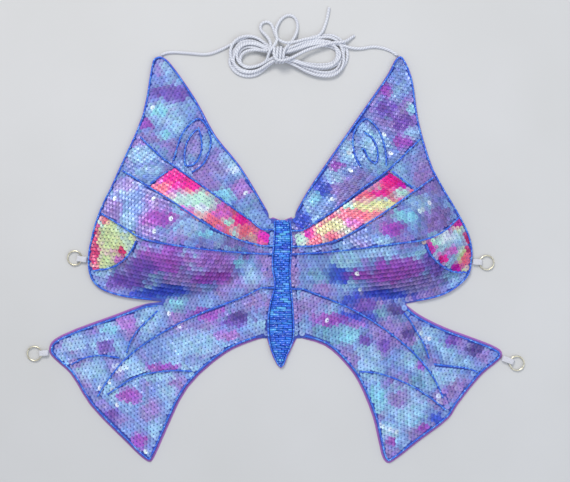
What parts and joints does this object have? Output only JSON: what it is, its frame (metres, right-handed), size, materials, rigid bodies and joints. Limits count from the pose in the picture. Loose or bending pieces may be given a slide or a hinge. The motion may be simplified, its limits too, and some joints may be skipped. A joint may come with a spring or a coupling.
{
  "type": "sequined butterfly wing top",
  "caption": "Sequined butterfly-shaped costume top: two padded wings folding on a beaded body, ribbon tabs with rings for back lacing, and neck cords.",
  "frame": {"origin": "centre of the footprint without the neck cords, on the surface the top lies on", "axes": "+X across the chest towards the wearer's left, +Y from hem to neck, +Z out of the front, up from the surface"},
  "size_m": [0.428, 0.3917, 0.0364],
  "materials": {
    "lining_cloth": "satin",
    "base_cloth": "woven",
    "cup_foam": "foam",
    "blue_sequins": "iridescent",
    "pink_sequins": "iridescent",
    "spot_sequins": "iridescent",
    "vein_beads": "glass beads on thread",
    "bugle_beads": "glass beads",
    "ribbon": "satin ribbon",
    "ring_metal": "polished",
    "neck_cord": "braided"
  },
  "bodies": {
    "root": {"body_lining": "lining_cloth", "body_base_fabric": "base_cloth", "body_beads": "bugle_beads", "body_left_edge_cord": "vein_beads", "body_right_edge_cord": "vein_beads", "left_neck_cord": "neck_cord", "left_neck_cord_end": "neck_cord", "right_neck_cord": "neck_cord", "right_neck_cord_end": "neck_cord", "neck_cord_hank": "neck_cord"},
    "left_wing": {"left_wing_lining": "lining_cloth", "left_wing_base_fabric": "base_cloth", "left_cup_pad": "cup_foam", "left_upper_sequins": "blue_sequins", "left_panel_sequins": "pink_sequins", "left_spot_sequins": "spot_sequins", "left_lower_sequins": "blue_sequins", "left_shoulder_vein": "vein_beads", "left_panel_vein": "vein_beads", "left_panel_end_vein": "vein_beads", "left_middle_vein": "vein_beads", "left_wing_spot_vein": "vein_beads", "left_eyespot_outer_vein": "vein_beads", "left_eyespot_inner_vein": "vein_beads", "left_lower_long_vein": "vein_beads", "left_lower_outer_vein": "vein_beads", "left_lower_tip_vein": "vein_beads", "left_lower_hem_vein": "vein_beads", "left_upper_edge_cord": "vein_beads", "left_lower_edge_cord": "vein_beads"},
    "right_wing": {"right_wing_lining": "lining_cloth", "right_wing_base_fabric": "base_cloth", "right_cup_pad": "cup_foam", "right_upper_sequins": "blue_sequins", "right_panel_sequins": "pink_sequins", "right_spot_sequins": "spot_sequins", "right_lower_sequins": "blue_sequins", "right_shoulder_vein": "vein_beads", "right_panel_vein": "vein_beads", "right_panel_end_vein": "vein_beads", "right_middle_vein": "vein_beads", "right_wing_spot_vein": "vein_beads", "right_eyespot_outer_vein": "vein_beads", "right_eyespot_inner_vein": "vein_beads", "right_lower_long_vein": "vein_beads", "right_lower_outer_vein": "vein_beads", "right_lower_tip_vein": "vein_beads", "right_lower_hem_vein": "vein_beads", "right_upper_edge_cord": "vein_beads", "right_lower_edge_cord": "vein_beads"},
    "left_upper_tab": {"left_upper_ribbon_tab": "ribbon"},
    "left_upper_ring": {"left_upper_ring": "ring_metal"},
    "left_lower_tab": {"left_lower_ribbon_tab": "ribbon"},
    "left_lower_ring": {"left_lower_ring": "ring_metal"},
    "right_upper_tab": {"right_upper_ribbon_tab": "ribbon"},
    "right_upper_ring": {"right_upper_ring": "ring_metal"},
    "right_lower_tab": {"right_lower_ribbon_tab": "ribbon"},
    "right_lower_ring": {"right_lower_ring": "ring_metal"}
  },
  "joints": [
    {"name": "left_wing_fold", "type": "hinge", "parent": "root", "child": "left_wing", "pos_m": [-0.00582, 0.03998, 0.0011], "axis": [0.0392, 0.9992, 0], "range_deg": [-80, 60]},
    {"name": "right_wing_fold", "type": "hinge", "parent": "root", "child": "right_wing", "pos_m": [0.01518, 0.03998, 0.0011], "axis": [0.0392, -0.9992, 0], "range_deg": [-80, 60]},
    {"name": "left_upper_tab_flex", "type": "hinge", "parent": "left_wing", "child": "left_upper_tab", "pos_m": [-0.1648, 0.00031, 0.0019], "axis": [0.1392, 0.9903, 0], "range_deg": [-50, 50]},
    {"name": "left_lower_tab_flex", "type": "hinge", "parent": "left_wing", "child": "left_lower_tab", "pos_m": [-0.19766, -0.07988, 0.0019], "axis": [-0.0698, 0.9976, 0], "range_deg": [-50, 50]},
    {"name": "right_upper_tab_flex", "type": "hinge", "parent": "right_wing", "child": "right_upper_tab", "pos_m": [0.17031, -0.00176, 0.0019], "axis": [-0.0698, -0.9976, 0], "range_deg": [-50, 50]},
    {"name": "right_lower_tab_flex", "type": "hinge", "parent": "right_wing", "child": "right_lower_tab", "pos_m": [0.19562, -0.085, 0.0019], "axis": [-0.342, -0.9397, 0], "range_deg": [-50, 50]},
    {"name": "left_upper_ring_swing", "type": "hinge", "parent": "left_upper_tab", "child": "left_upper_ring", "pos_m": [-0.16727, 0.00066, 0.0019], "axis": [0.1392, 0.9903, 0], "range_deg": [-100, 100]},
    {"name": "left_lower_ring_swing", "type": "hinge", "parent": "left_lower_tab", "child": "left_lower_ring", "pos_m": [-0.20185, -0.08017, 0.0019], "axis": [-0.0698, 0.9976, 0], "range_deg": [-100, 100]},
    {"name": "right_upper_ring_swing", "type": "hinge", "parent": "right_upper_tab", "child": "right_upper_ring", "pos_m": [0.1745, -0.00205, 0.0019], "axis": [-0.0698, -0.9976, 0], "range_deg": [-100, 100]},
    {"name": "right_lower_ring_swing", "type": "hinge", "parent": "right_lower_tab", "child": "right_lower_ring", "pos_m": [0.20078, -0.08688, 0.0019], "axis": [-0.342, -0.9397, 0], "range_deg": [-100, 100]}
  ]
}
